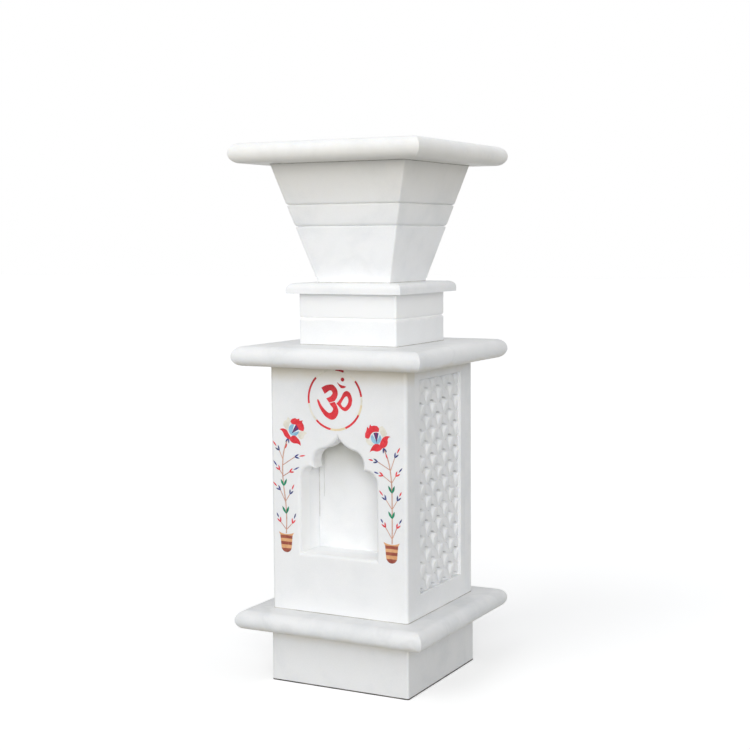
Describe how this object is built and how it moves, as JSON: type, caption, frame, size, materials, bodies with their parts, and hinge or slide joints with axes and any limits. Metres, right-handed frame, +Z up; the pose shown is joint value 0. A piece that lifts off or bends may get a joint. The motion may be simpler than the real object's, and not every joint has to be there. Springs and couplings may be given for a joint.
{
  "type": "pedestal planter",
  "caption": "Pedestal planter of stacked white marble blocks: bullnose slabs, hollow tapered square pot, body with an arched lamp niche, stone inlay and carved lattice flanks.",
  "frame": {"origin": "middle of the foot, on the floor", "axes": "+Z up; -Y is the front with the niche; +X is the right flank, seen from the front"},
  "size_m": [0.295, 0.295, 0.762],
  "materials": {
    "marble": "satin polished white marble with faint warm and cool clouding",
    "dowel_steel": "plain stainless rod, brushed",
    "red_stone": "polished deep red inlay stone",
    "navy_stone": "polished dark blue inlay stone",
    "green_stone": "polished green inlay stone",
    "stem_stone": "polished pink-brown inlay stone",
    "tan_stone": "polished orange-tan inlay stone",
    "brown_stone": "polished dark red-brown inlay stone",
    "cream_stone": "polished cream inlay shell",
    "gold_stone": "polished golden inlay stone",
    "sky_stone": "polished pale blue inlay stone",
    "purple_stone": "polished purple inlay stone"
  },
  "bodies": {
    "root": {"back_panel": "marble", "collar_slab": "marble", "front_panel": "marble", "left_cream_petals": "cream_stone", "left_cup": "sky_stone", "left_cup_stripe": "purple_stone", "left_cup_wedge": "navy_stone", "left_leaves": "green_stone", "left_navy_sprigs": "navy_stone", "left_panel": "marble", "left_red_petals": "red_stone", "left_red_sprigs": "red_stone", "left_stem": "stem_stone", "left_vase_brown_bands": "brown_stone", "left_vase_tan_bands": "tan_stone", "lower_slab": "marble", "neck_block": "marble", "neck_dowels": "dowel_steel", "niche_back": "marble", "niche_ceiling": "marble", "niche_floor": "marble", "niche_left_cheek": "marble", "niche_right_cheek": "marble", "panel_dowels": "dowel_steel", "planter_pot": "marble", "plinth_block": "marble", "plinth_dowels": "dowel_steel", "pot_dowels": "dowel_steel", "right_cream_petals": "cream_stone", "right_cup": "sky_stone", "right_cup_stripe": "purple_stone", "right_cup_wedge": "navy_stone", "right_leaves": "green_stone", "right_navy_sprigs": "navy_stone", "right_panel": "marble", "right_red_petals": "red_stone", "right_red_sprigs": "red_stone", "right_stem": "stem_stone", "right_vase_brown_bands": "brown_stone", "right_vase_tan_bands": "tan_stone", "rim_dowels": "dowel_steel", "rim_slab": "marble", "ring_cream_arcs": "cream_stone", "ring_gold_arcs": "gold_stone", "ring_red_arcs": "red_stone", "upper_slab": "marble"}
  },
  "joints": []
}
